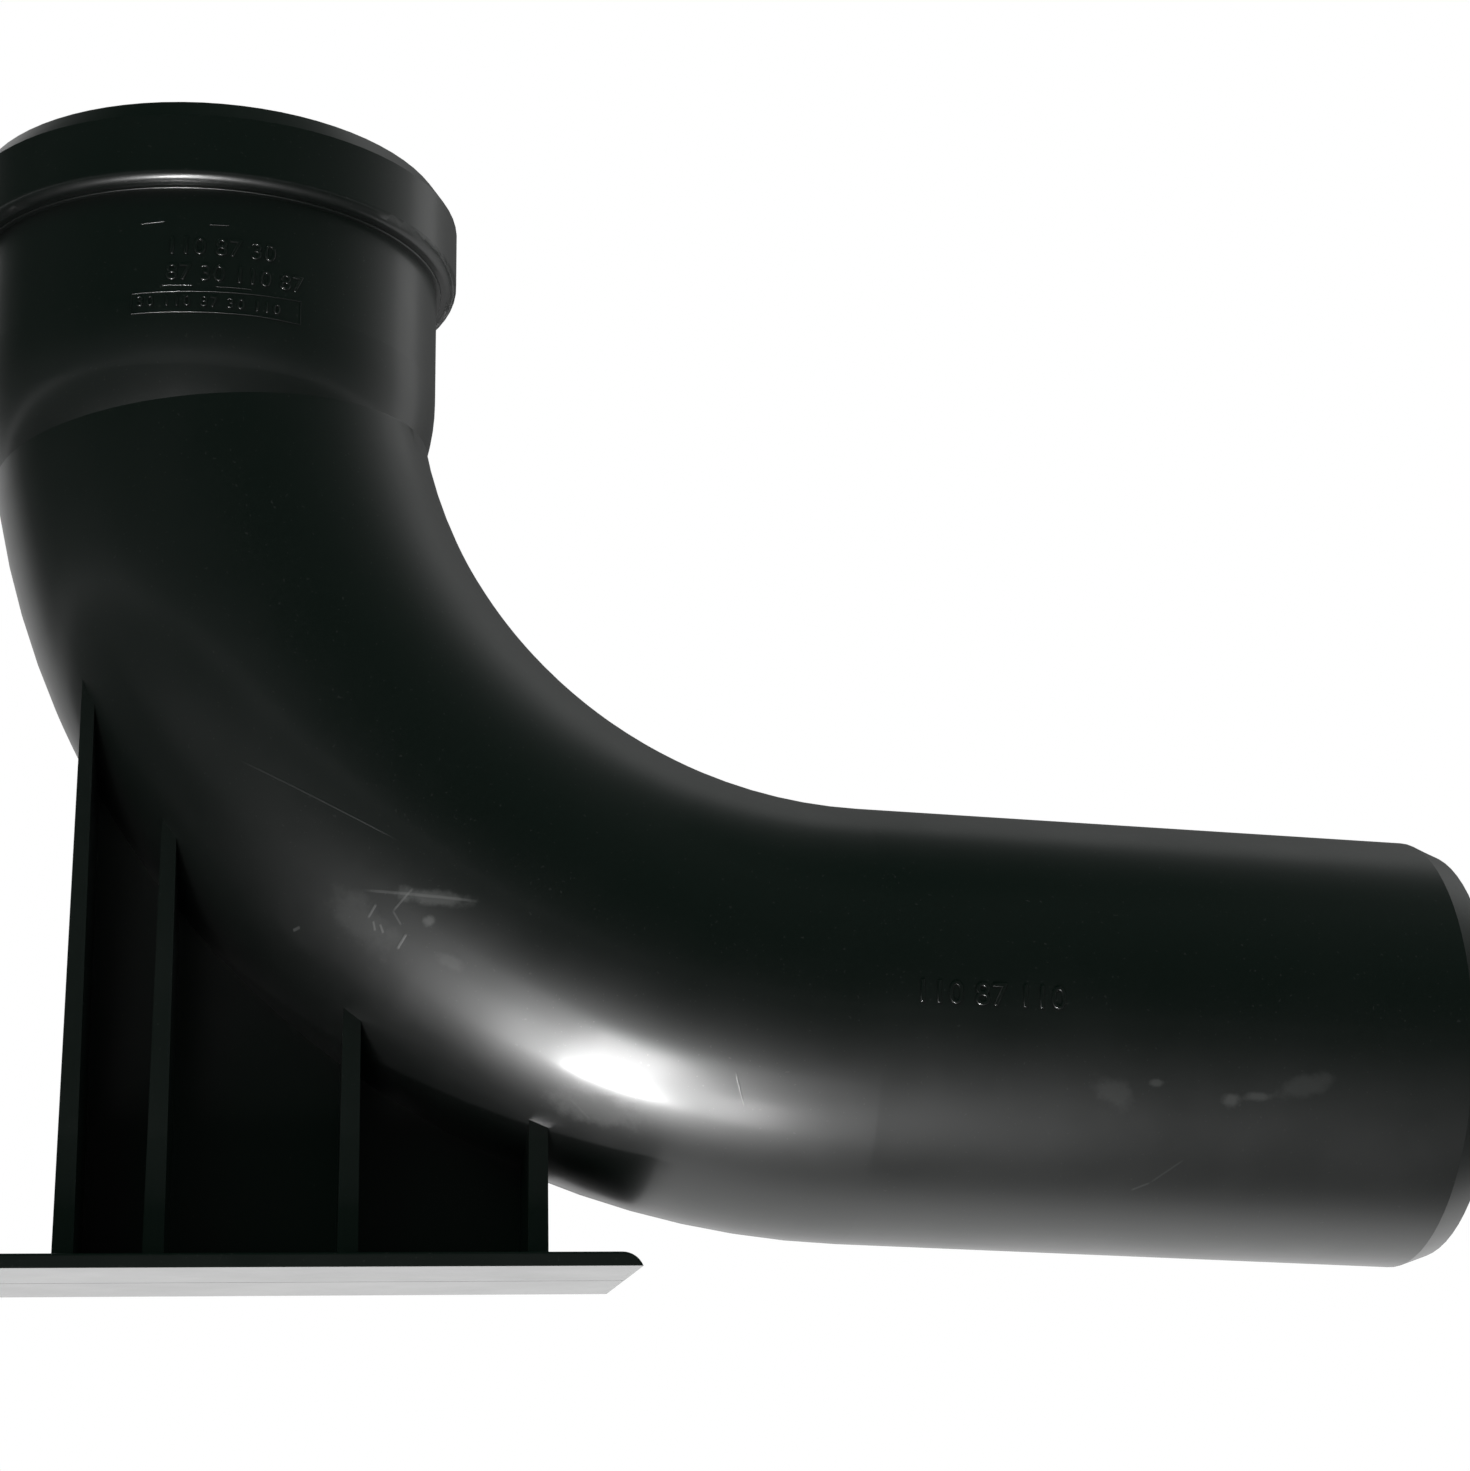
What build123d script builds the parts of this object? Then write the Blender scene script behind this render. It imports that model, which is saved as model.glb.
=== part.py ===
"""Downpipe foot bend: a moulded 87.5 degree bend with a ring-seal socket and a ribbed foot.

Units are millimetres and +Z is up. The origin is the middle of the foot plate's underside, and the plane
Y = 0 halves the bend lengthwise. The socket opens straight up and the spigot points along +X.
The pieces are drawn from the point where the bend begins under the socket, then moved to the origin.
"""

import math
import os

from build123d import *

# Pipe
PIPE_RADIUS = 55.0
WALL = 4.0
BEND_RADIUS = 172.0
BEND_ANGLE = 87.5

# Spigot
SPIGOT_LENGTH = 145.0
SPIGOT_TAPER_LENGTH = 7.0
SPIGOT_END_RADIUS = 52.3

# Socket, with heights measured up from the start of the bend
SOCKET_BORE_RADIUS = 55.6
SOCKET_RADIUS = 59.2
NECK_TOP = -7.0
NECK_DROP = 29.0
NECK_ARC_RADIUS = 62.0
PIPE_STOP_HEIGHT = -8.0
MOUTH_CHAMFER = 2.2

# Collar round the top of the socket
COLLAR_RADIUS = 64.4
COLLAR_BOTTOM = 22.7
COLLAR_STRAIGHT = 17.1
COLLAR_CORNER = 2.6
COLLAR_CHAMFER_HEIGHT = 5.3
COLLAR_CHAMFER_WIDTH = 3.6
SHOULDER_STEP = 1.2
SHOULDER_DROP = 0.6
SHOULDER_ROUND = 0.3

# Groove for the sealing ring inside the collar
GROOVE_RADIUS = 61.0
GROOVE_HEIGHT = 9.4
GROOVE_BOTTOM = COLLAR_BOTTOM + 4.3

# Sealing ring
RING_CLEARANCE = 0.15
RING_INNER_RADIUS = 57.6
RING_HEIGHT = 8.4
LIP_RADIUS = 55.4
LIP_THICKNESS = 1.4
LIP_DROP = 5.6

# Foot, with places along X measured from the socket's axis
FOOT_DROP = 235.7
PLATE_LEFT = -52.0
PLATE_RIGHT = 108.0
PLATE_HALF_WIDTH = 41.0
PLATE_THICKNESS = 3.3
PLATE_END_RUN = 4.9
PLATE_SIDE_ROUND = 0.6
SEAM_WIDTH = 0.5
SEAM_DEPTH = 0.4
WEB_THICKNESS = 4.0
RIB_CENTRES = (-24.6, -4.2, 40.2, 84.6)
RIB_HALF_WIDTH = 28.0
RIB_FOOT_THICKNESS = 4.9
RIB_TAPER = 0.013
RIB_TOP_INSIDE = 30.0

FOOT_MIDDLE = (PLATE_LEFT + PLATE_RIGHT) / 2
COLLAR_TOP = COLLAR_BOTTOM + COLLAR_STRAIGHT + COLLAR_CHAMFER_HEIGHT
BEND_AXIS = Axis((BEND_RADIUS, 0, 0), (0, -1, 0))
TO_ORIGIN = Location((-FOOT_MIDDLE, 0, FOOT_DROP))


def spigot_plane():
    """Plane at the end of the bend, looking along the spigot."""
    cosine = math.cos(math.radians(BEND_ANGLE))
    sine = math.sin(math.radians(BEND_ANGLE))
    start = (BEND_RADIUS * (1 - cosine), 0, -BEND_RADIUS * sine)
    return Plane(origin=start, x_dir=(cosine, 0, sine), z_dir=(sine, 0, -cosine))


def turned(*outline):
    """Solid turned about the socket's axis from the lines of an outline drawn as radius and height."""
    return revolve(make_face(Plane.XZ * Curve(outline)), axis=Axis.Z)


def revolved(points):
    """Solid turned about the socket's axis from an outline of radius and height pairs."""
    return turned(Polyline(*points, close=True))


def tube_core(radius):
    """Bent rod of one radius from the start of the bend to its end."""
    return revolve(Circle(radius), axis=BEND_AXIS, revolution_arc=BEND_ANGLE)


def spigot_outside():
    """Straight spigot with the taper that starts it into the next socket."""
    run = SPIGOT_LENGTH + SPIGOT_TAPER_LENGTH
    upright = revolved([
        (0, 0),
        (PIPE_RADIUS, 0),
        (PIPE_RADIUS, SPIGOT_LENGTH),
        (SPIGOT_END_RADIUS, run),
        (0, run),
    ])
    return spigot_plane().location * upright


def neck():
    """Socket wall below the collar, drawn in by an arc until it runs into the bend."""
    turn = math.asin(NECK_DROP / NECK_ARC_RADIUS)
    centre = SOCKET_RADIUS - NECK_ARC_RADIUS
    half_turn = turn / 2
    middle = (centre + NECK_ARC_RADIUS * math.cos(half_turn), NECK_TOP - NECK_ARC_RADIUS * math.sin(half_turn))
    low = (centre + NECK_ARC_RADIUS * math.cos(turn), NECK_TOP - NECK_DROP)
    high = (SOCKET_RADIUS, NECK_TOP)
    arc = ThreePointArc(high, middle, low)
    sides = Polyline(low, (0, NECK_TOP - NECK_DROP), (0, NECK_TOP), high)
    return turned(arc, sides)


def rounded_rim(solid, radius, height, rounding):
    """The turned solid with the round edge of one radius and height eased."""
    rim = [edge for edge in solid.edges().filter_by(GeomType.CIRCLE)
           if abs(edge.radius - radius) < 0.01 and abs(edge.center().Z - height) < 0.01]
    return fillet(rim, rounding)


def socket_outside():
    """Socket wall, the small shoulder on it and the collar above the neck."""
    top_radius = COLLAR_RADIUS - COLLAR_CHAMFER_WIDTH
    straight_top = COLLAR_BOTTOM + COLLAR_STRAIGHT
    shoulder_radius = SOCKET_RADIUS + SHOULDER_STEP
    shoulder_bottom = COLLAR_BOTTOM - SHOULDER_DROP
    solid = revolved([
        (0, NECK_TOP),
        (SOCKET_RADIUS, NECK_TOP),
        (SOCKET_RADIUS, shoulder_bottom),
        (shoulder_radius, shoulder_bottom),
        (shoulder_radius, COLLAR_BOTTOM),
        (COLLAR_RADIUS, COLLAR_BOTTOM),
        (COLLAR_RADIUS, straight_top),
        (top_radius, COLLAR_TOP),
        (0, COLLAR_TOP),
    ])
    solid = rounded_rim(solid, COLLAR_RADIUS, COLLAR_BOTTOM, COLLAR_CORNER)
    solid = rounded_rim(solid, shoulder_radius, shoulder_bottom, SHOULDER_ROUND)
    return solid + neck()


def socket_inside():
    """Space that the downpipe and the sealing ring take up, with the flared mouth."""
    groove_top = GROOVE_BOTTOM + GROOVE_HEIGHT
    return revolved([
        (0, PIPE_STOP_HEIGHT),
        (SOCKET_BORE_RADIUS, PIPE_STOP_HEIGHT),
        (SOCKET_BORE_RADIUS, GROOVE_BOTTOM),
        (GROOVE_RADIUS, GROOVE_BOTTOM),
        (GROOVE_RADIUS, groove_top),
        (SOCKET_BORE_RADIUS, groove_top),
        (SOCKET_BORE_RADIUS, COLLAR_TOP - MOUTH_CHAMFER),
        (SOCKET_BORE_RADIUS + MOUTH_CHAMFER, COLLAR_TOP),
        (0, COLLAR_TOP),
    ])


def passage():
    """Water way from the pipe stop through the bend and out of the spigot."""
    radius = PIPE_RADIUS - WALL
    run = SPIGOT_LENGTH + SPIGOT_TAPER_LENGTH
    outlet = spigot_plane().location * Cylinder(radius, run, align=(Align.CENTER, Align.CENTER, Align.MIN))
    inlet = Cylinder(radius, COLLAR_BOTTOM, align=(Align.CENTER, Align.CENTER, Align.MIN))
    return tube_core(radius) + outlet + inlet


def foot_plate():
    """Flat plate with ends that curve down to the ground, eased long edges and a fine mould seam underneath."""
    bottom = -FOOT_DROP
    top = bottom + PLATE_THICKNESS
    left_flat = PLATE_LEFT + PLATE_END_RUN
    right_flat = PLATE_RIGHT - PLATE_END_RUN
    outline = [
        Line((PLATE_LEFT, bottom), (PLATE_RIGHT, bottom)),
        TangentArc((right_flat, top), (PLATE_RIGHT, bottom), tangent=(1, 0)),
        Line((right_flat, top), (left_flat, top)),
        TangentArc((left_flat, top), (PLATE_LEFT, bottom), tangent=(-1, 0)),
    ]
    plate = extrude(make_face(Plane.XZ * Curve(outline)), PLATE_HALF_WIDTH, both=True)
    sides = [edge for edge in plate.edges().filter_by(Axis.X) if edge.center().Z > top - 0.01]
    seam = Pos(FOOT_MIDDLE, 0, bottom) * Box(PLATE_RIGHT - PLATE_LEFT, SEAM_WIDTH, 2 * SEAM_DEPTH)
    return fillet(sides, PLATE_SIDE_ROUND) - seam


def rib(centre):
    """Upright cross rib, a little thicker at the plate than at the bend."""
    bottom = -FOOT_DROP + PLATE_THICKNESS / 2
    reach = BEND_RADIUS + RIB_TOP_INSIDE
    top = -math.sqrt(reach ** 2 - (BEND_RADIUS - centre) ** 2)
    half_foot = RIB_FOOT_THICKNESS / 2
    half_top = half_foot - RIB_TAPER * (top - bottom) / 2
    outline = Plane.XZ * Polyline(
        (centre - half_foot, bottom),
        (centre + half_foot, bottom),
        (centre + half_top, top),
        (centre - half_top, top),
        close=True,
    )
    return extrude(make_face(outline), RIB_HALF_WIDTH, both=True)


def web():
    """Central web between the first and the last rib, reaching into the wall of the bend."""
    left = RIB_CENTRES[0]
    right = RIB_CENTRES[-1]
    bottom = -FOOT_DROP + PLATE_THICKNESS / 2
    height = -bottom
    sheet = Pos((left + right) / 2, 0, bottom) * Box(
        right - left, WEB_THICKNESS, height, align=(Align.CENTER, Align.CENTER, Align.MIN))
    hollow = Pos(BEND_RADIUS, 0, 0) * Rot(90, 0, 0) * Cylinder(BEND_RADIUS + RIB_TOP_INSIDE, 2 * WEB_THICKNESS)
    return sheet - hollow


def bend_body():
    """The whole moulding: socket, bend, spigot and foot in one piece."""
    outside = tube_core(PIPE_RADIUS) + spigot_outside() + socket_outside()
    solid = outside + foot_plate() + web()
    for centre in RIB_CENTRES:
        solid += rib(centre)
    solid -= passage()
    solid -= socket_inside()
    return solid


def seal_ring():
    """Rubber ring that lies in the groove, with a lip slanting down and inwards."""
    bottom = GROOVE_BOTTOM
    top = bottom + RING_HEIGHT
    outer = GROOVE_RADIUS - RING_CLEARANCE
    lip_tip = top - LIP_DROP
    return revolved([
        (outer, bottom),
        (outer, top),
        (RING_INNER_RADIUS, top),
        (LIP_RADIUS, lip_tip),
        (LIP_RADIUS, lip_tip - LIP_THICKNESS),
        (LIP_RADIUS + LIP_THICKNESS, lip_tip - LIP_THICKNESS / 2),
        (RING_INNER_RADIUS, top - LIP_THICKNESS * 2),
        (RING_INNER_RADIUS, bottom),
    ])


def main():
    """Write each piece as its own STEP file."""
    os.makedirs("parts", exist_ok=True)
    pieces = {
        "bend_body": bend_body(),
        "seal_ring": seal_ring(),
    }
    for name, piece in pieces.items():
        export_step(TO_ORIGIN * piece, f"parts/{name}.step")
        print(name, "volume", round(piece.volume / 1000, 1), "cm3", "solids", len(piece.solids()))


main()
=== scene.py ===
"""Dresses the packed downpipe foot bend: finishes, raised mould marks, studio and camera.

Lengths are metres in the part's own frame. +Z is up, +X is the way the spigot points, and the origin
is the middle of the foot plate's underside. Azimuths are measured from the camera's side, -Y, and grow
towards +X.
"""

import logging
import math
from dataclasses import dataclass
from enum import Enum

import bpy
from mathutils import Matrix, Vector


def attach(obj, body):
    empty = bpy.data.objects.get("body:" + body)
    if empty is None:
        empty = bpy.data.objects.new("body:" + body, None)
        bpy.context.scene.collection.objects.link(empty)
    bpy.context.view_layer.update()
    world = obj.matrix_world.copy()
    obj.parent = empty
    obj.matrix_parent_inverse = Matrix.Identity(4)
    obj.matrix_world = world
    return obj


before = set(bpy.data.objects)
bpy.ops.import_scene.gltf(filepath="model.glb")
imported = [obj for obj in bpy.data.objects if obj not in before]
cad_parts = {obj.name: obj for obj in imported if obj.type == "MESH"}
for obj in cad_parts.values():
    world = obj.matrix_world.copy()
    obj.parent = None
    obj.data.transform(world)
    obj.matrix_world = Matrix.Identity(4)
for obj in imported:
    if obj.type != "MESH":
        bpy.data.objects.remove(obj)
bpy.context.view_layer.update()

LOG = logging.getLogger("foot_bend")
MM = 0.001
ORIGIN = (0.0, 0.0, 0.0)
UP = (0.0, 0.0, 1.0)
TO_CAMERA = (0.0, -1.0, 0.0)

Pair = tuple[float, float]
Triple = tuple[float, float, float]
Socket = bpy.types.NodeSocket
Value = float | Socket


def mm(*lengths: float) -> tuple[float, ...]:
    """Turns millimetres into metres."""
    return tuple(length * MM for length in lengths)


class Body(Enum):
    """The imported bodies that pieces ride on."""

    ROOT = "root"


class Slot(Enum):
    """The record's material slots that new pieces wear."""

    BODY = "body"


@dataclass(frozen=True)
class Ease:
    """A smooth change from the start number to the end number while a value goes from low to high."""

    low: float
    high: float
    start: float = 0.0
    end: float = 1.0


@dataclass(frozen=True)
class Pattern:
    """A cloudy pattern: cells per metre, octaves and the strength of the finer octaves."""

    scale: float
    detail: float
    roughness: float = 0.5


class Graph:
    """Adds nodes to one material or world and joins them."""

    def __init__(self, owner: bpy.types.Material | bpy.types.World) -> None:
        """Empties the owner's node tree.

        Args:
            owner: The material or world whose nodes are made.
        """
        owner.use_nodes = True
        self.tree = owner.node_tree
        self.tree.nodes.clear()

    def add(self, kind: str, **settings: object) -> bpy.types.Node:
        """Adds a node.

        Args:
            kind: Blender's name of the node type.
            settings: Attributes to set on the node.

        Returns:
            The new node.
        """
        node = self.tree.nodes.new(kind)
        for name, value in settings.items():
            setattr(node, name, value)
        return node

    def feed(self, socket: Socket, value: Value | Triple) -> None:
        """Gives a socket a constant or joins another socket to it.

        Args:
            socket: The input to set.
            value: A number, a triple or an output socket.
        """
        if isinstance(value, Socket):
            self.tree.links.new(value, socket)
        elif isinstance(value, tuple) and socket.type == "RGBA":
            socket.default_value = (*value, 1.0)
        else:
            socket.default_value = value

    def fill(self, node: bpy.types.Node, values: dict[str | int, Value | Triple]) -> None:
        """Feeds several inputs of a node.

        Args:
            node: The node.
            values: What each input gets, by its name or its place.
        """
        for name, value in values.items():
            self.feed(node.inputs[name], value)

    def finish(self, shader: bpy.types.Node, kind: str = "ShaderNodeOutputMaterial") -> None:
        """Ends the tree with its output node.

        Args:
            shader: The node that gives the surface.
            kind: Blender's name of the output node.
        """
        self.feed(self.add(kind).inputs["Surface"], shader.outputs[0])

    def math(self, operation: str, *values: Value, clamp: bool = False) -> Socket:
        """Adds a Math node.

        Args:
            operation: Blender's name of the operation.
            values: The operands.
            clamp: Whether the result is held between 0 and 1.

        Returns:
            The result's socket.
        """
        node = self.add("ShaderNodeMath", operation=operation, use_clamp=clamp)
        for socket, value in zip(node.inputs, values):
            self.feed(socket, value)
        return node.outputs[0]

    def step(self, value: Value, ease: Ease) -> Socket:
        """Eases from one number to another while a value crosses a range.

        Args:
            value: What is followed.
            ease: The range and the two numbers.

        Returns:
            The eased number's socket.
        """
        node = self.add("ShaderNodeMapRange", interpolation_type="SMOOTHSTEP")
        self.fill(node, {
            "Value": value,
            "From Min": ease.low,
            "From Max": ease.high,
            "To Min": ease.start,
            "To Max": ease.end,
        })
        return node.outputs["Result"]

    def ramp(self, value: Socket, stops: tuple[Pair, ...]) -> Socket:
        """Follows a line drawn through stops.

        Args:
            value: What is followed.
            stops: Pairs of a value and the result there, in rising order of the value.

        Returns:
            The result's socket.
        """
        low, high = stops[0][0], stops[-1][0]
        share = self.math("MULTIPLY_ADD", value, 1.0 / (high - low), -low / (high - low), clamp=True)
        node = self.add("ShaderNodeValToRGB")
        elements = node.color_ramp.elements
        while len(elements) < len(stops):
            elements.new(0.5)
        for element, (place, level) in zip(elements, stops):
            element.position = (place - low) / (high - low)
            element.color = (level, level, level, 1.0)
        self.feed(node.inputs[0], share)
        return node.outputs[0]

    def blend_colours(self, share: Value, first: Value | Triple, second: Value | Triple) -> Socket:
        """Mixes two colours.

        Args:
            share: How much of the second is taken.
            first: Colour at share 0.
            second: Colour at share 1.

        Returns:
            The mixed colour's socket.
        """
        node = self.add("ShaderNodeMix", data_type="RGBA")
        self.fill(node, {0: share, 6: first, 7: second})
        return node.outputs[2]

    def blend_numbers(self, share: Value, first: Value, second: Value) -> Socket:
        """Mixes two numbers.

        Args:
            share: How much of the second is taken.
            first: Number at share 0.
            second: Number at share 1.

        Returns:
            The mixed number's socket.
        """
        node = self.add("ShaderNodeMix", data_type="FLOAT")
        self.fill(node, {0: share, 2: first, 3: second})
        return node.outputs[0]

    def blend_shaders(self, share: Value, first: bpy.types.Node, second: bpy.types.Node) -> bpy.types.Node:
        """Mixes two shaders.

        Args:
            share: How much of the second is taken.
            first: Shader at share 0.
            second: Shader at share 1.

        Returns:
            The mixed shader.
        """
        node = self.add("ShaderNodeMixShader")
        self.fill(node, {0: share, 1: first.outputs[0], 2: second.outputs[0]})
        return node

    def noise(self, place: Socket, pattern: Pattern) -> Socket:
        """Adds a cloudy pattern.

        Args:
            place: The coordinates it reads.
            pattern: Its scale, detail and roughness.

        Returns:
            The pattern's socket, from 0 to 1.
        """
        node = self.add("ShaderNodeTexNoise")
        self.fill(node, {
            "Vector": place,
            "Scale": pattern.scale,
            "Detail": pattern.detail,
            "Roughness": pattern.roughness,
        })
        return node.outputs["Fac"]

    def local(self, place: Socket, centre: Triple, turn: Triple, size: Triple) -> Socket:
        """Reads coordinates in the frame of a turned box, which reaches from -1 to 1 there.

        Args:
            place: The coordinates it reads.
            centre: Middle of the box.
            turn: Turns about X, Y and Z in degrees.
            size: Half lengths of the box.

        Returns:
            The box's own coordinates.
        """
        node = self.add("ShaderNodeMapping", vector_type="TEXTURE")
        self.fill(node, {
            "Vector": place,
            "Location": centre,
            "Rotation": tuple(math.radians(angle) for angle in turn),
            "Scale": size,
        })
        return node.outputs["Vector"]

    def length(self, vector: Socket) -> Socket:
        """Measures a vector.

        Args:
            vector: The vector.

        Returns:
            Its length's socket.
        """
        node = self.add("ShaderNodeVectorMath", operation="LENGTH")
        self.feed(node.inputs[0], vector)
        return node.outputs["Value"]

    def split(self, vector: Socket) -> dict[str, Socket]:
        """Takes a vector apart.

        Args:
            vector: The vector.

        Returns:
            Its parts by the names X, Y and Z.
        """
        node = self.add("ShaderNodeSeparateXYZ")
        self.feed(node.inputs[0], vector)
        return {name: node.outputs[name] for name in "XYZ"}

    def bump(self, height: Socket, strength: float, depth: float) -> Socket:
        """Turns a height into small dents and rises.

        Args:
            height: The height's socket.
            strength: Share of the effect.
            depth: Metres that a height of 1 stands for.

        Returns:
            The normal's socket.
        """
        node = self.add("ShaderNodeBump")
        self.fill(node, {"Strength": strength, "Distance": depth, "Height": height})
        return node.outputs["Normal"]

    def mirrored(self, path: bpy.types.Node) -> Socket:
        """Gives 1 to what is seen in or through a shiny surface, from a Light Path node."""
        return self.math("MAXIMUM", path.outputs["Is Glossy Ray"], path.outputs["Is Transmission Ray"])


@dataclass(frozen=True)
class Scuff:
    """A softly rubbed patch, lighter in colour, which in one place is also a painted highlight: its
    middle, half length and half breadth, and its turn in the side view.
    """

    centre: Triple
    length: float
    breadth: float
    turn: float
    strength: float


@dataclass(frozen=True)
class Stroke:
    """A straight scratch or tool line on the camera's side, drawn in the side view as X and Z."""

    start: Pair
    end: Pair
    half_width: float
    strength: float
    height: float = 0.0


@dataclass(frozen=True)
class GlossyBlackPlastic:
    """Moulded black plastic with a slight green cast, rubbed in places; the patch under the gleam is
    partly rubbing and partly painted highlight.
    """

    base: Triple = (0.0017, 0.0057, 0.0037)
    worn: Triple = (0.115, 0.120, 0.115)
    roughness: float = 0.38
    sheen_level: float = 0.42
    coat_weight: float = 0.31
    coat_roughness: float = 0.18
    ior: float = 1.5
    haze: Pattern = Pattern(26.0, 4.0, 0.6)
    haze_roughness: float = 0.16
    speck: Pattern = Pattern(1500.0, 0.0)
    speck_edge: Ease = Ease(0.79, 0.83)
    speck_wear: float = 0.10
    grain: Pattern = Pattern(900.0, 2.0)
    grain_height: float = 0.06
    flow: Pattern = Pattern(60.0, 3.0)
    flow_stretch: Triple = (1.0, 1.0, 2.8)
    flow_height: float = 0.35
    rubbed_height: float = 0.5
    rubbed_roughness: float = 0.18
    bump_strength: float = 0.35
    bump_depth: float = 0.12 * MM
    ragged: Pattern = Pattern(240.0, 4.0, 0.65)
    ragged_reach: float = 1.2
    scuff_depth: float = 12.0 * MM
    scuff_rim: Pair = (0.85, 1.50)
    stroke_core: float = 0.3
    stroke_ends: Pair = (0.35, 0.55)
    front_side: Ease = Ease(-1.0 * MM, 0.0, 1.0, 0.0)
    scuffs_and_painted_highlight: tuple[Scuff, ...] = (
        Scuff((0.0145, -0.0460, 0.0790), 0.0150, 0.0070, 42.0, 0.16),
        Scuff((0.0300, -0.0520, 0.0838), 0.0125, 0.0026, 8.0, 0.42),
        Scuff((0.0291, -0.0502, 0.0788), 0.0020, 0.0017, 0.0, 0.50),
        Scuff((0.0347, -0.0479, 0.0694), 0.0050, 0.0022, 30.0, 0.20),
        # Partly real rubbing and partly painted highlight: its pale wear colour lightens the band between
        # the gleam's highlight and the plate's shadow.
        Scuff((0.0690, -0.0375, 0.0368), 0.0150, 0.0050, 14.0, 0.55),
        Scuff((0.1915, -0.0500, 0.0395), 0.0085, 0.0045, 29.0, 0.16),
        Scuff((0.2021, -0.0514, 0.0415), 0.0024, 0.0012, 0.0, 0.25),
        Scuff((0.2206, -0.0502, 0.0377), 0.0034, 0.0024, 0.0, 0.30),
        Scuff((0.2275, -0.0506, 0.0385), 0.0052, 0.0015, 0.0, 0.25),
        Scuff((0.2385, -0.0520, 0.0410), 0.0100, 0.0040, -14.0, 0.14),
    )
    strokes: tuple[Stroke, ...] = (
        Stroke((-0.0154, 0.1170), (0.0209, 0.0975), 0.00030, 0.08, 1.0),
        Stroke((0.0143, 0.0861), (0.0401, 0.0828), 0.00045, 0.30),
        Stroke((0.0169, 0.0829), (0.0151, 0.0800), 0.00040, 0.50),
        Stroke((0.0163, 0.0793), (0.0168, 0.0771), 0.00036, 0.55),
        Stroke((0.0179, 0.0785), (0.0187, 0.0765), 0.00036, 0.55),
        Stroke((0.0240, 0.0760), (0.0220, 0.0729), 0.00042, 0.70),
        Stroke((0.0253, 0.0861), (0.0208, 0.0812), 0.00036, 0.36),
        Stroke((0.0208, 0.0812), (0.0228, 0.0780), 0.00032, 0.32),
        Stroke((-0.0022, 0.0790), (-0.0006, 0.0795), 0.00050, 0.45),
        Stroke((0.0633, 0.0389), (0.0683, 0.0346), 0.00030, 0.25),
        Stroke((0.1011, 0.0436), (0.1034, 0.0365), 0.00022, 0.50),
        Stroke((0.1994, 0.0181), (0.2036, 0.0196), 0.00030, 0.25),
        Stroke((0.2036, 0.0196), (0.2108, 0.0245), 0.00030, 0.16),
    )

    def material(self) -> bpy.types.Material:
        """Builds the node material.

        Returns:
            The material for the moulding.
        """
        made = bpy.data.materials.new("glossy_black_plastic")
        graph = Graph(made)
        place = graph.add("ShaderNodeTexCoord").outputs["Object"]
        scratched, raised = self.scratched(graph, place)
        rubbed = graph.math("ADD", self.rubbed(graph, place), scratched, clamp=True)
        speck = graph.step(graph.noise(place, self.speck), self.speck_edge)
        wear = graph.math("MULTIPLY_ADD", speck, self.speck_wear, rubbed, clamp=True)
        haze = graph.math("SUBTRACT", graph.noise(place, self.haze), 0.5)
        varied = graph.math("MULTIPLY_ADD", haze, self.haze_roughness, self.roughness)
        normal = self.normal(graph, place, rubbed, raised)
        shader = graph.add("ShaderNodeBsdfPrincipled")
        graph.fill(shader, {
            "Base Color": graph.blend_colours(wear, self.base, self.worn),
            "Roughness": graph.math("MULTIPLY_ADD", rubbed, self.rubbed_roughness, varied),
            "IOR": self.ior,
            "Specular IOR Level": self.sheen_level,
            "Coat Weight": self.coat_weight,
            "Coat Roughness": self.coat_roughness,
            "Normal": normal,
            "Coat Normal": normal,
        })
        graph.finish(shader)
        return made

    def normal(self, graph: Graph, place: Socket, rubbed: Socket, raised: Socket) -> Socket:
        """Adds the fine grain, the flow of the moulding and the marks of wear to the face.

        Args:
            graph: The material's nodes.
            place: Object coordinates.
            rubbed: How rubbed each point is.
            raised: Height that the tool lines add.

        Returns:
            The normal's socket.
        """
        stretched = graph.local(place, ORIGIN, ORIGIN, self.flow_stretch)
        height = graph.math("MULTIPLY", graph.noise(stretched, self.flow), self.flow_height)
        height = graph.math("MULTIPLY_ADD", graph.noise(place, self.grain), self.grain_height, height)
        height = graph.math("MULTIPLY_ADD", rubbed, self.rubbed_height, height)
        height = graph.math("ADD", height, raised)
        return graph.bump(height, self.bump_strength, self.bump_depth)

    def rubbed(self, graph: Graph, place: Socket) -> Socket:
        """Adds up the rubbed patches; one of them is partly painted highlight.

        Args:
            graph: The material's nodes.
            place: Object coordinates.

        Returns:
            How rubbed each point is, from 0 to 1.
        """
        ragged = graph.noise(place, self.ragged)
        inner, outer = self.scuff_rim
        total: Value = 0.0
        for scuff in self.scuffs_and_painted_highlight:
            size = (scuff.length, self.scuff_depth, scuff.breadth)
            reach = graph.length(graph.local(place, scuff.centre, (0.0, scuff.turn, 0.0), size))
            edge = graph.math("MULTIPLY_ADD", ragged, self.ragged_reach, reach)
            total = graph.math("ADD", total, graph.step(edge, Ease(inner, outer, scuff.strength, 0.0)))
        return graph.math("MINIMUM", total, 1.0)

    def scratched(self, graph: Graph, place: Socket) -> tuple[Socket, Socket]:
        """Adds up the strokes on the camera's side.

        Args:
            graph: The material's nodes.
            place: Object coordinates.

        Returns:
            How scratched each point is, and the height that the tool lines add.
        """
        parts = graph.split(place)
        front = graph.step(parts["Y"], self.front_side)
        worn: Value = 0.0
        raised: Value = 0.0
        for stroke in self.strokes:
            mask = graph.math("MULTIPLY", self.ribbon(graph, parts, stroke), front)
            worn = graph.math("MULTIPLY_ADD", mask, stroke.strength, worn)
            if stroke.height:
                raised = graph.math("MULTIPLY_ADD", mask, stroke.height, raised)
        return worn, raised

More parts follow.
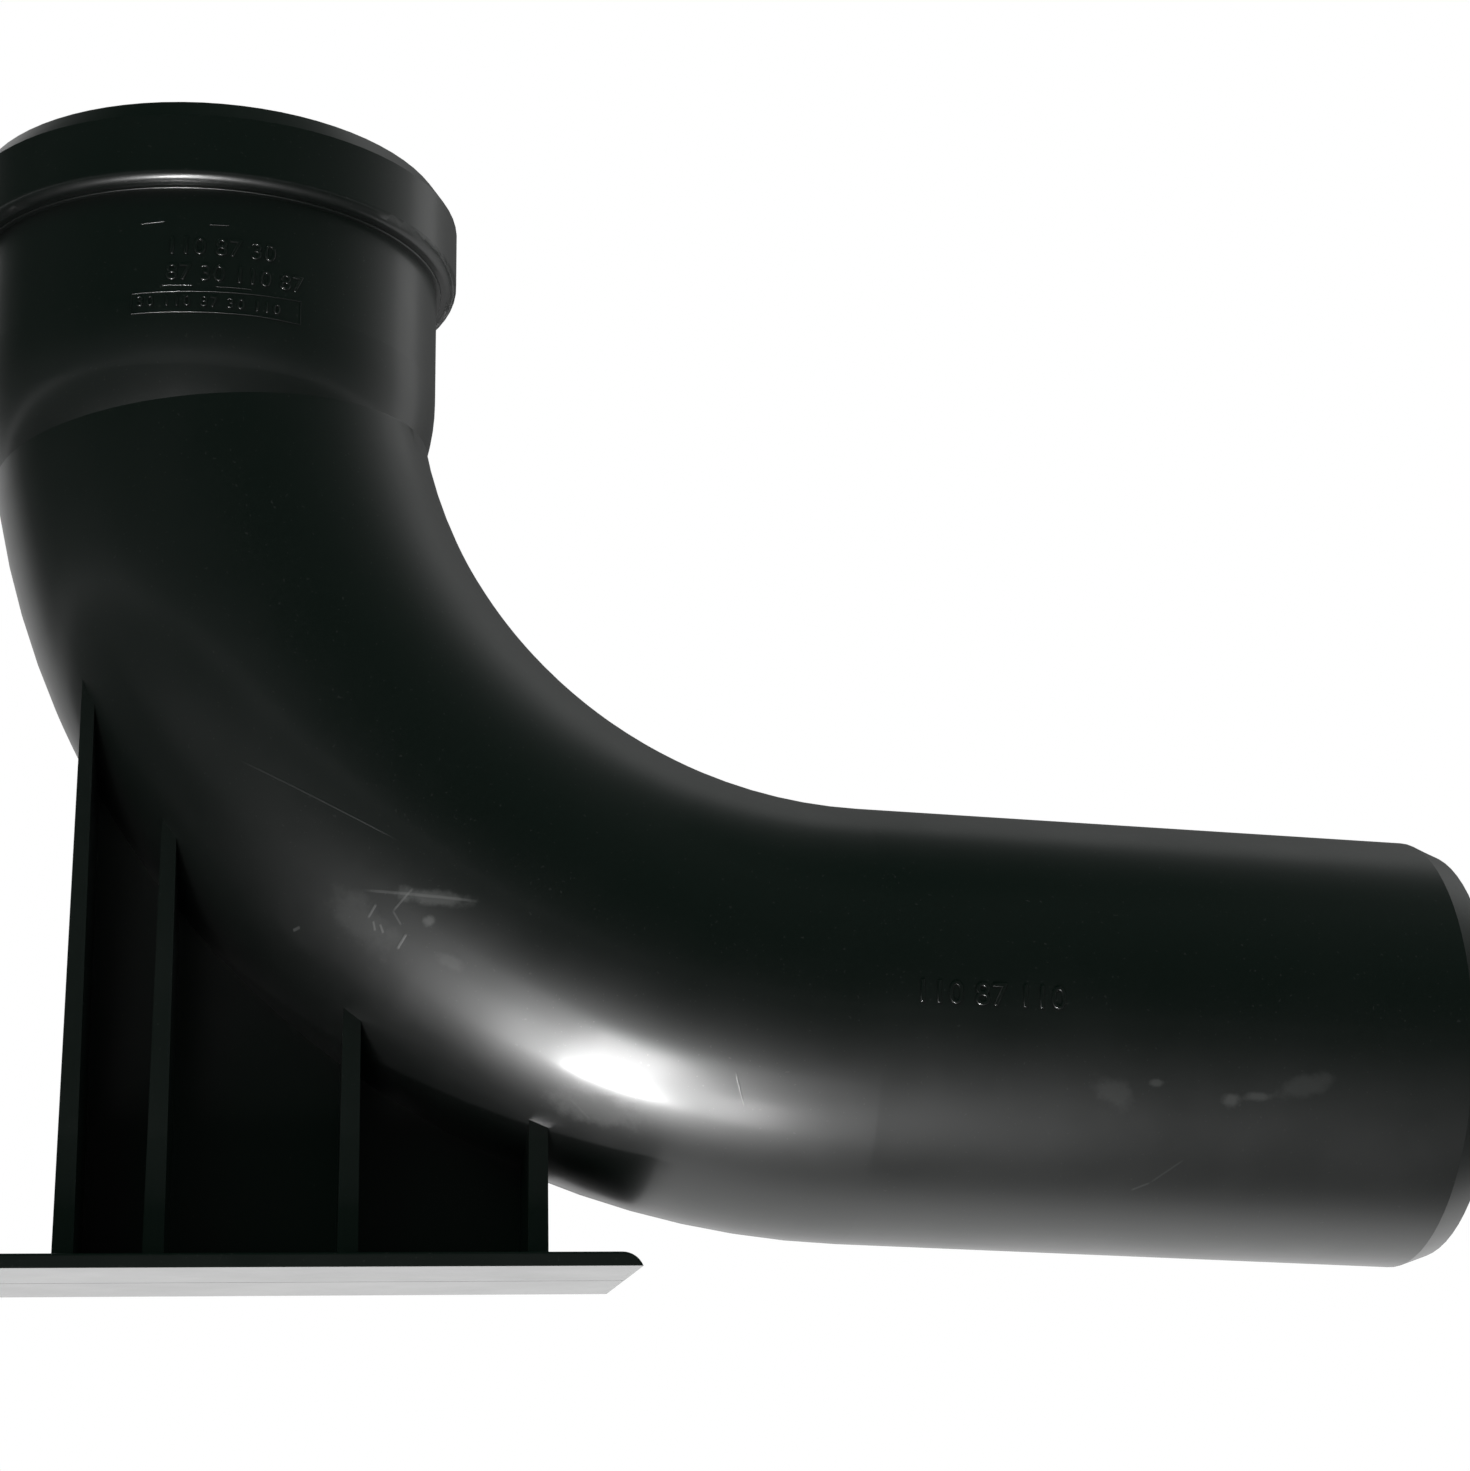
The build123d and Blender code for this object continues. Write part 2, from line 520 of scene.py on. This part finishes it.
    def ribbon(self, graph: Graph, parts: dict[str, Socket], stroke: Stroke) -> Socket:
        """Masks one stroke with soft edges and ends.

        Args:
            graph: The material's nodes.
            parts: The X, Y and Z of the place.
            stroke: The stroke.

        Returns:
            1 on the stroke and 0 away from it.
        """
        start = Vector(stroke.start)
        run = Vector(stroke.end) - start
        along = run.normalized()
        across = Vector((-along.y, along.x))
        aside = self.distance(graph, parts, across, across.dot(start))
        onward = self.distance(graph, parts, along, along.dot(start) + run.length / 2)
        core = self.stroke_core * stroke.half_width
        inner, outer = (share * run.length for share in self.stroke_ends)
        side = graph.step(aside, Ease(core, stroke.half_width, 1.0, 0.0))
        within = graph.step(onward, Ease(inner, outer, 1.0, 0.0))
        return graph.math("MULTIPLY", side, within)

    @staticmethod
    def distance(graph: Graph, parts: dict[str, Socket], way: Vector, middle: float) -> Socket:
        """Measures how far a place in the side view lies from a line.

        Args:
            graph: The material's nodes.
            parts: The X, Y and Z of the place.
            way: Direction across the line.
            middle: The line's own distance from the origin in that direction.

        Returns:
            The distance's socket.
        """
        reach = graph.math("MULTIPLY", parts["X"], way.x)
        reach = graph.math("MULTIPLY_ADD", parts["Z"], way.y, reach)
        return graph.math("ABSOLUTE", graph.math("SUBTRACT", reach, middle))


@dataclass(frozen=True)
class SealRubber:
    """Matt black rubber with a fine bloom."""

    base: Triple = (0.012, 0.012, 0.013)
    bloom: Triple = (0.030, 0.030, 0.031)
    roughness: float = 0.68
    cloud: Pattern = Pattern(140.0, 4.0, 0.6)
    cloud_edge: Ease = Ease(0.45, 0.75)
    cloud_roughness: float = 0.15
    grain: Pattern = Pattern(2400.0, 2.0)
    bump_strength: float = 0.4
    bump_depth: float = 0.05 * MM

    def material(self) -> bpy.types.Material:
        """Builds the node material.

        Returns:
            The material for the sealing ring.
        """
        made = bpy.data.materials.new("seal_rubber")
        graph = Graph(made)
        place = graph.add("ShaderNodeTexCoord").outputs["Object"]
        cloud = graph.noise(place, self.cloud)
        dusty = graph.step(cloud, self.cloud_edge)
        shader = graph.add("ShaderNodeBsdfPrincipled")
        graph.fill(shader, {
            "Base Color": graph.blend_colours(dusty, self.base, self.bloom),
            "Roughness": graph.math("MULTIPLY_ADD", cloud, self.cloud_roughness, self.roughness),
            "Normal": graph.bump(graph.noise(place, self.grain), self.bump_strength, self.bump_depth),
        })
        graph.finish(shader)
        return made


def dress(name: str, material: bpy.types.Material) -> None:
    """Gives a CAD node its finish.

    Args:
        name: The node's name.
        material: The finish for every slot of the node.
    """
    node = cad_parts[name]
    if not node.material_slots:
        node.data.materials.append(material)
    for slot in node.material_slots:
        slot.material = material
    LOG.info("%s wears %s", name, material.name)


@dataclass(frozen=True)
class RoundFace:
    """The outside of a cylinder that marks are wrapped on."""

    origin: Triple
    along: Triple
    front: Triple
    radius: float
    reads_along: bool

    def point(self, right: float, up: float, out: float) -> Vector:
        """Wraps a place of the flat mark on the cylinder.

        Args:
            right: Distance in reading direction.
            up: Distance above the line of writing.
            out: Height above the face.

        Returns:
            The place in the part's frame.
        """
        around, run = (-up, right) if self.reads_along else (right, up)
        axis, front = Vector(self.along), Vector(self.front)
        angle = around / self.radius
        ray = front * math.cos(angle) + axis.cross(front) * math.sin(angle)
        return Vector(self.origin) + axis * run + ray * (self.radius + out)


@dataclass(frozen=True)
class Figures:
    """A line of plain raised figures: what it says, its lower left corner and the height of a figure."""

    words: str
    corner: Pair
    height: float
    pitch: float = 1.0


@dataclass(frozen=True)
class Bar:
    """A thin raised line from one place to another on the face."""

    start: Pair
    end: Pair
    width: float = 0.40 * MM


@dataclass(frozen=True)
class MouldedMarks:
    """Raised figures and lines on one round face, sunk a little into it."""

    name: str
    face: RoundFace
    figures: tuple[Figures, ...]
    bars: tuple[Bar, ...]
    material: bpy.types.Material
    relief: float = 0.36 * MM
    rounding: float = 0.22 * MM
    rounding_steps: int = 1
    thinning: float = 0.6
    digit_share: float = 0.70
    figure_steps: int = 3
    bar_steps: int = 4
    new_path_length: float = 4.0

    def build(self) -> bpy.types.Object:
        """Models the marks and fastens them to the body.

        Returns:
            The one object that holds all marks of the face.
        """
        made = [self.write(line) for line in self.figures] + [self.draw(bar) for bar in self.bars]
        bpy.ops.object.select_all(action="DESELECT")
        for piece in made:
            piece.select_set(True)
        bpy.context.view_layer.objects.active = made[0]
        bpy.ops.object.join()
        marks = bpy.context.active_object
        marks.name = self.name
        for vertex in marks.data.vertices:
            vertex.co = self.face.point(*vertex.co)
        bpy.ops.object.mode_set(mode="EDIT")
        bpy.ops.mesh.select_all(action="SELECT")
        bpy.ops.mesh.normals_make_consistent(inside=False)
        bpy.ops.object.mode_set(mode="OBJECT")
        marks.data.materials.clear()
        marks.data.materials.append(self.material)
        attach(marks, Body.ROOT.value)
        LOG.info("%s has %d faces", self.name, len(marks.data.polygons))
        return marks

    def write(self, line: Figures) -> bpy.types.Object:
        """Makes one line of figures, still flat.

        Args:
            line: The line.

        Returns:
            The line as a mesh.
        """
        bpy.ops.object.select_all(action="DESELECT")
        bpy.ops.object.text_add()
        text = bpy.context.active_object
        text.data.body = line.words
        text.data.size = line.height / self.digit_share
        text.data.space_character = line.pitch
        text.data.extrude = self.relief - self.rounding
        text.data.bevel_depth = self.rounding
        text.data.bevel_resolution = self.rounding_steps
        text.data.offset = -self.thinning * self.rounding
        text.data.resolution_u = self.figure_steps
        bpy.ops.object.convert(target="MESH")
        bpy.ops.object.mode_set(mode="EDIT")
        bpy.ops.mesh.select_all(action="SELECT")
        bpy.ops.transform.translate(value=(*line.corner, 0.0))
        bpy.ops.object.mode_set(mode="OBJECT")
        return bpy.context.active_object

    def draw(self, bar: Bar) -> bpy.types.Object:
        """Makes one line, still flat.

        Args:
            bar: The line's ends and width.

        Returns:
            The line as a closed round mesh with enough joints to follow the face.
        """
        run = Vector(bar.end) - Vector(bar.start)
        middle = (Vector(bar.start) + Vector(bar.end)) / 2
        slope = math.atan2(run.y, run.x)
        bpy.ops.object.select_all(action="DESELECT")
        bpy.ops.curve.primitive_nurbs_path_add()
        path = bpy.context.active_object
        path.data.bevel_depth = bar.width / 2
        path.data.bevel_resolution = self.rounding_steps
        path.data.use_fill_caps = True
        path.data.resolution_u = self.bar_steps
        bpy.ops.object.mode_set(mode="EDIT")
        bpy.ops.curve.select_all(action="SELECT")
        bpy.ops.transform.resize(value=(run.length / self.new_path_length, 1.0, 1.0))
        bpy.ops.transform.rotate(value=-slope, orient_axis="Z", center_override=ORIGIN)
        bpy.ops.transform.translate(value=(middle.x, middle.y, 0.0))
        bpy.ops.object.mode_set(mode="OBJECT")
        bpy.ops.object.convert(target="MESH")
        return bpy.context.active_object


def socket_marks(material: bpy.types.Material) -> MouldedMarks:
    """Plans the figures and ruled lines on the front of the socket.

    Args:
        material: The moulding's finish.

    Returns:
        The marks, not yet modelled.
    """
    socket_radius = 59.2 * MM
    face = RoundFace(mm(-28.0, 0.0, 0.0), UP, TO_CAMERA, socket_radius, reads_along=False)
    figures = (
        Figures("110 87 30", mm(-8.8, 240.9), 4.4 * MM, 1.05),
        Figures("87 30 110 87", mm(-8.6, 234.1), 4.2 * MM, 1.05),
        Figures("30 110 87 30 110", mm(-15.4, 227.3), 2.6 * MM, 1.30),
    )
    lines = {
        "top": ((-16.6, 230.6), (24.4, 231.9)),
        "middle": ((-16.6, 225.4), (14.4, 226.0)),
        "end": ((14.4, 226.0), (24.5, 225.8)),
        "left": ((-16.6, 225.4), (-16.6, 230.6)),
        "right": ((24.5, 225.8), (24.5, 231.9)),
        "dash": ((1.6, 248.8), (6.2, 249.0)),
        "corner": ((-15.0, 249.0), (-9.5, 249.4)),
        "short": ((-9.3, 232.6), (-2.1, 232.6)),
        "long": ((3.6, 232.6), (12.0, 232.8)),
    }
    bars = tuple(Bar(mm(*start), mm(*end)) for start, end in lines.values())
    return MouldedMarks("socket_marks", face, figures, bars, material)


def spigot_figures(material: bpy.types.Material) -> MouldedMarks:
    """Plans the row of figures on the front of the spigot.

    Args:
        material: The moulding's finish.

    Returns:
        The marks, not yet modelled.
    """
    spigot_radius = 55.0 * MM
    fall = math.radians(2.5)
    along = (math.cos(fall), 0.0, -math.sin(fall))
    face = RoundFace(mm(143.2, 0.0, 63.57), along, TO_CAMERA, spigot_radius, reads_along=True)
    figures = (Figures("110 87 110", mm(0.0, -3.6), 5.4 * MM, 1.05),)
    return MouldedMarks("spigot_figures", face, figures, (), material)


@dataclass(frozen=True)
class CameraRig:
    """The camera that took the photograph, as fitted to its outlines, with its turns in radians."""

    place: Triple = mm(1.638, -693.119, -57.583)
    yaw: float = 0.155
    pitch: float = 0.274
    roll: float = -0.018
    focal_pixels: float = 2800.0
    image_width: int = 1470
    sensor_width: float = 36.0
    nearest: float = 0.01
    farthest: float = 50.0

    def build(self) -> bpy.types.Object:
        """Adds the camera and makes it the scene's camera.

        Returns:
            The camera object.
        """
        data = bpy.data.cameras.new("photo_camera")
        data.sensor_fit = "HORIZONTAL"
        data.sensor_width = self.sensor_width
        data.lens = self.focal_pixels * self.sensor_width / self.image_width
        data.clip_start = self.nearest
        data.clip_end = self.farthest
        camera = bpy.data.objects.new("photo_camera", data)
        bpy.context.scene.collection.objects.link(camera)
        ahead = Vector((
            math.sin(self.yaw) * math.cos(self.pitch),
            math.cos(self.yaw) * math.cos(self.pitch),
            math.sin(self.pitch),
        ))
        level = Vector((math.cos(self.yaw), -math.sin(self.yaw), 0.0))
        upright = level.cross(ahead)
        right = math.cos(self.roll) * level + math.sin(self.roll) * upright
        up = math.cos(self.roll) * upright - math.sin(self.roll) * level
        turn = Matrix((right, up, -ahead)).transposed().to_4x4()
        camera.matrix_world = Matrix.Translation(self.place) @ turn
        bpy.context.scene.camera = camera
        LOG.info("%s has a lens of %.1f mm", camera.name, data.lens)
        return camera


@dataclass(frozen=True)
class PaleFloor:
    """A floor that is seen from above only, so that the low camera looks through it.

    Far off it melts into white for the eye. In reflections it is a glowing sheet, whose rows of brightness
    run along X: high just behind the part's middle, and low in front and at the left.
    """

    size: float = 8.0
    height: float = 0.02 * MM
    colour: Triple = (0.82, 0.82, 0.82)
    melting: Ease = Ease(0.5, 2.0)
    rows: tuple[Pair, ...] = (
        (-0.60, 0.01), (-0.30, 0.04), (-0.20, 0.09), (-0.11, 0.16), (-0.052, 0.12), (-0.042, 0.16),
        (-0.036, 0.30), (-0.030, 0.60), (-0.024, 1.05), (-0.018, 1.25), (-0.008, 1.20), (0.02, 1.02),
        (0.30, 1.0), (0.55, 0.40), (0.80, 0.04),
    )
    left_part: Ease = Ease(-0.14, -0.02, 0.04, 1.0)
    front_part: Ease = Ease(-0.20, -0.06, 1.0, 0.0)
    patch_centre: Pair = (-0.50, -0.34)
    patch_edge: Ease = Ease(0.05, 0.25, 0.22, 0.0)

    def build(self) -> bpy.types.Object:
        """Lays the floor.

        Returns:
            The floor.
        """
        bpy.ops.object.select_all(action="DESELECT")
        bpy.ops.mesh.primitive_plane_add(size=self.size, location=(0.0, 0.0, self.height))
        floor = bpy.context.active_object
        floor.name = "floor"
        bpy.ops.object.transform_apply(location=True, rotation=True, scale=True)
        floor.data.materials.append(self.material())
        LOG.info("%s is %.1f m square", floor.name, self.size)
        return floor

    def material(self) -> bpy.types.Material:
        """Builds the floor's finish, which is clear from below and to lamp light.

        Returns:
            The material for the floor.
        """
        made = bpy.data.materials.new("pale_floor")
        graph = Graph(made)
        path = graph.add("ShaderNodeLightPath")
        place = graph.add("ShaderNodeTexCoord").outputs["Object"]
        matt = graph.add("ShaderNodeBsdfDiffuse")
        graph.feed(matt.inputs["Color"], self.colour)
        white = graph.add("ShaderNodeEmission")
        far = graph.step(graph.length(place), self.melting)
        to_the_eye = graph.blend_shaders(
            graph.math("MULTIPLY", far, path.outputs["Is Camera Ray"]), matt, white)
        sheet = graph.add("ShaderNodeEmission")
        graph.feed(sheet.inputs["Strength"], self.sheet_glow(graph, graph.split(place)))
        from_above = graph.blend_shaders(graph.mirrored(path), to_the_eye, sheet)
        clear = graph.add("ShaderNodeBsdfTransparent")
        behind = graph.add("ShaderNodeNewGeometry").outputs["Backfacing"]
        passed = graph.math("MAXIMUM", behind, path.outputs["Is Shadow Ray"])
        graph.finish(graph.blend_shaders(passed, from_above, clear))
        return made

    def sheet_glow(self, graph: Graph, parts: dict[str, Socket]) -> Socket:
        """Sets the brightness of the floor in reflections.

        Args:
            graph: The floor's nodes.
            parts: The X, Y and Z of the place on the floor.

        Returns:
            The brightness's socket.
        """
        rows = graph.ramp(parts["Y"], self.rows)
        right = graph.step(parts["X"], self.left_part)
        share = graph.math("MAXIMUM", right, graph.step(parts["Y"], self.front_part))
        aside, back = (
            graph.math("ABSOLUTE", graph.math("SUBTRACT", parts[name], middle))
            for name, middle in zip("XY", self.patch_centre)
        )
        patch = graph.step(graph.math("MAXIMUM", aside, back), self.patch_edge)
        return graph.math("MULTIPLY_ADD", rows, share, patch)


@dataclass(frozen=True)
class SoftRoom:
    """The world: white to the camera, grey to matt surfaces and a soft room in reflections.

    The room is white below the horizon. Above it the room is dark in front and under the ceiling, grey
    beside and behind, and has a brighter strip behind at the right. The brightness at each side goes by
    how far ahead, towards the camera, a direction points.
    """

    grey: float = 0.15
    right_side: tuple[Pair, ...] = (
        (-1.0, 0.10), (-0.85, 0.13), (-0.72, 0.20), (-0.58, 0.32), (-0.45, 0.48), (-0.30, 0.55),
        (-0.15, 0.45), (0.0, 0.30), (0.20, 0.16), (0.40, 0.09), (0.60, 0.06), (0.75, 0.04),
        (0.90, 0.015), (1.0, 0.004),
    )
    left_side: tuple[Pair, ...] = (
        (-1.0, 0.60), (-0.80, 0.74), (-0.68, 0.62), (-0.58, 0.26), (-0.46, 0.07), (-0.30, 0.03),
        (-0.10, 0.03), (0.15, 0.05), (0.35, 0.03), (0.60, 0.012), (0.75, 0.012), (0.86, 0.02),
        (1.0, 0.005),
    )
    left_to_right: Ease = Ease(-0.25, 0.05)
    ceiling: Ease = Ease(0.82, 0.93, 1.0, 0.10)
    strip_near_edge: Ease = Ease(1.85, 1.92)
    strip_far_edge: Ease = Ease(2.20, 2.30, 1.0, 0.0)
    strip_top: Ease = Ease(0.50, 0.56, 0.55, 0.0)
    horizon: Ease = Ease(-0.02, 0.0, 1.50, 0.0)

    def build(self) -> bpy.types.World:
        """Makes the world and gives it to the scene.

        Returns:
            The world.
        """
        world = bpy.data.worlds.new("studio_world")
        bpy.context.scene.world = world
        graph = Graph(world)
        path = graph.add("ShaderNodeLightPath")
        way = graph.add("ShaderNodeTexCoord").outputs["Generated"]
        level = graph.blend_numbers(graph.mirrored(path), self.grey, self.glow(graph, graph.split(way)))
        back = graph.add("ShaderNodeBackground")
        graph.fill(back, {
            "Color": (1.0, 1.0, 1.0),
            "Strength": graph.math("MAXIMUM", level, path.outputs["Is Camera Ray"]),
        })
        graph.finish(back, "ShaderNodeOutputWorld")
        return world

    def glow(self, graph: Graph, parts: dict[str, Socket]) -> Socket:
        """Sets the brightness of the room in reflections.

        Args:
            graph: The world's nodes.
            parts: The direction's X, Y and Z.

        Returns:
            The brightness's socket.
        """
        ahead = graph.math("MULTIPLY", parts["Y"], -1.0)
        left = graph.ramp(ahead, self.left_side)
        right = graph.ramp(ahead, self.right_side)
        walls = graph.blend_numbers(graph.step(parts["X"], self.left_to_right), left, right)
        azimuth = graph.math("ARCTAN2", parts["X"], ahead)
        near_edge = graph.step(azimuth, self.strip_near_edge)
        far_edge = graph.step(azimuth, self.strip_far_edge)
        strip = graph.math("MULTIPLY", near_edge, far_edge)
        strip = graph.math("MULTIPLY", strip, graph.step(parts["Z"], self.strip_top))
        above = graph.math("MULTIPLY_ADD", walls, graph.step(parts["Z"], self.ceiling), strip)
        return graph.math("MAXIMUM", above, graph.step(parts["Z"], self.horizon))


class Shine(Enum):
    """What a lamp's light shows on."""

    MATT = "matt"
    GLOSS = "gloss"


@dataclass(frozen=True)
class Softbox:
    """A rectangular lamp that the camera doesn't see.

    Its bearing and elevation are degrees seen from what it faces. Its height runs as near as can be along
    a line.
    """

    name: str
    azimuth: float
    elevation: float
    distance: float
    size: Pair
    power: float
    shine: Shine
    height_line: Triple = UP

    def build(self, target: Vector) -> bpy.types.Object:
        """Hangs the lamp.

        Args:
            target: What it faces.

        Returns:
            The lamp.
        """
        azimuth, elevation = math.radians(self.azimuth), math.radians(self.elevation)
        level = math.cos(elevation)
        back = Vector((math.sin(azimuth) * level, -math.cos(azimuth) * level, math.sin(elevation)))
        across = Vector(self.height_line).cross(back).normalized()
        turn = Matrix((across, back.cross(across), back)).transposed().to_4x4()
        data = bpy.data.lights.new(self.name, "AREA")
        data.shape = "RECTANGLE"
        data.size, data.size_y = self.size
        data.energy = self.power
        data.cycles.use_multiple_importance_sampling = False
        lamp = bpy.data.objects.new(self.name, data)
        bpy.context.scene.collection.objects.link(lamp)
        lamp.matrix_world = Matrix.Translation(target + self.distance * back) @ turn
        lamp.visible_camera = False
        lamp.visible_glossy = self.shine is Shine.GLOSS
        lamp.visible_diffuse = self.shine is Shine.MATT
        LOG.info("%s stands at %s", lamp.name, [round(place, 2) for place in lamp.location])
        return lamp


@dataclass(frozen=True)
class Studio:
    """Floor, world, two lamps for matt surfaces and three that shine up on the bend from low in front."""

    floor: PaleFloor = PaleFloor()
    room: SoftRoom = SoftRoom()
    target: Triple = (0.08, -0.03, 0.07)
    softboxes: tuple[Softbox, ...] = (
        Softbox("key", -42.9, 43.2, 2.4, (1.4, 1.4), 34.0, Shine.MATT),
        Softbox("fill", 50.5, 24.3, 2.0, (1.2, 1.2), 14.0, Shine.MATT),
        Softbox("gleam", -22.0, -51.3, 2.0, (0.30, 0.80), 41.0, Shine.GLOSS, (-0.15, 1.0, 0.0)),
        Softbox("edge", -35.0, -61.4, 2.0, (0.05, 0.26), 34.0, Shine.GLOSS, (1.0, 0.0, 0.0)),
        Softbox("tail", -6.5, -63.0, 2.0, (0.22, 0.40), 5.0, Shine.GLOSS, (-0.15, 1.0, 0.0)),
    )

    def build(self) -> None:
        """Adds the floor, the world and the lamps."""
        self.floor.build()
        self.room.build()
        for softbox in self.softboxes:
            softbox.build(Vector(self.target))


def main() -> None:
    """Builds the finishes, the marks, the studio and the camera."""
    logging.basicConfig(level=logging.INFO)
    bpy.context.scene.view_settings.view_transform = "Standard"
    plastic = GlossyBlackPlastic().material()
    dress("bend_body", plastic)
    dress("seal_ring", SealRubber().material())
    socket_marks(plastic).build()
    spigot_figures(plastic).build()
    Studio().build()
    CameraRig().build()


if __name__ == "__main__":
    main()
